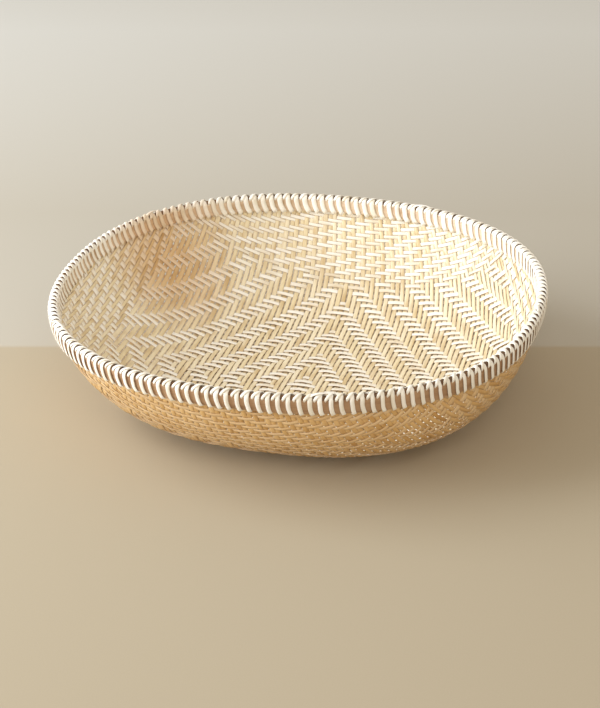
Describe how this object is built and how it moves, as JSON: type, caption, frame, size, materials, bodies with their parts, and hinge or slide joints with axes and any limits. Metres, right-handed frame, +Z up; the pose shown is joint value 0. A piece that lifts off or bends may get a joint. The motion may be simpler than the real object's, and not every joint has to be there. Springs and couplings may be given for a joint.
{
  "type": "winnowing basket",
  "caption": "Round-cornered shallow bowl basket of twill-woven split bamboo strips, with an outer and an inner rim hoop lashed together by peeled cane.",
  "frame": {"origin": "at table height, straight under the middle of the mouth", "axes": "+Z up out of the mouth, +X across the basket along the wefts, +Y from front to back along the warps"},
  "size_m": [0.4092, 0.4212, 0.095],
  "materials": {
    "warp_strips": "split bamboo strips, straw yellow, soft sheen",
    "weft_strips": "split bamboo strips, pale, glossy where the light catches",
    "rim_hoops": "split bamboo, inner side out, brown, matt",
    "lashing": "peeled cane strand, ivory, satin"
  },
  "bodies": {
    "root": {"floor_warps": "warp_strips", "left_wall_warps": "warp_strips", "right_wall_warps": "warp_strips", "floor_wefts": "weft_strips", "front_wall_wefts": "weft_strips", "back_wall_wefts": "weft_strips", "outer_hoop": "rim_hoops", "inner_hoop": "rim_hoops", "edge_cane": "rim_hoops", "lashing_length_1": "lashing", "lashing_length_2": "lashing", "lashing_length_3": "lashing", "lashing_length_4": "lashing", "lashing_length_5": "lashing"}
  },
  "joints": []
}
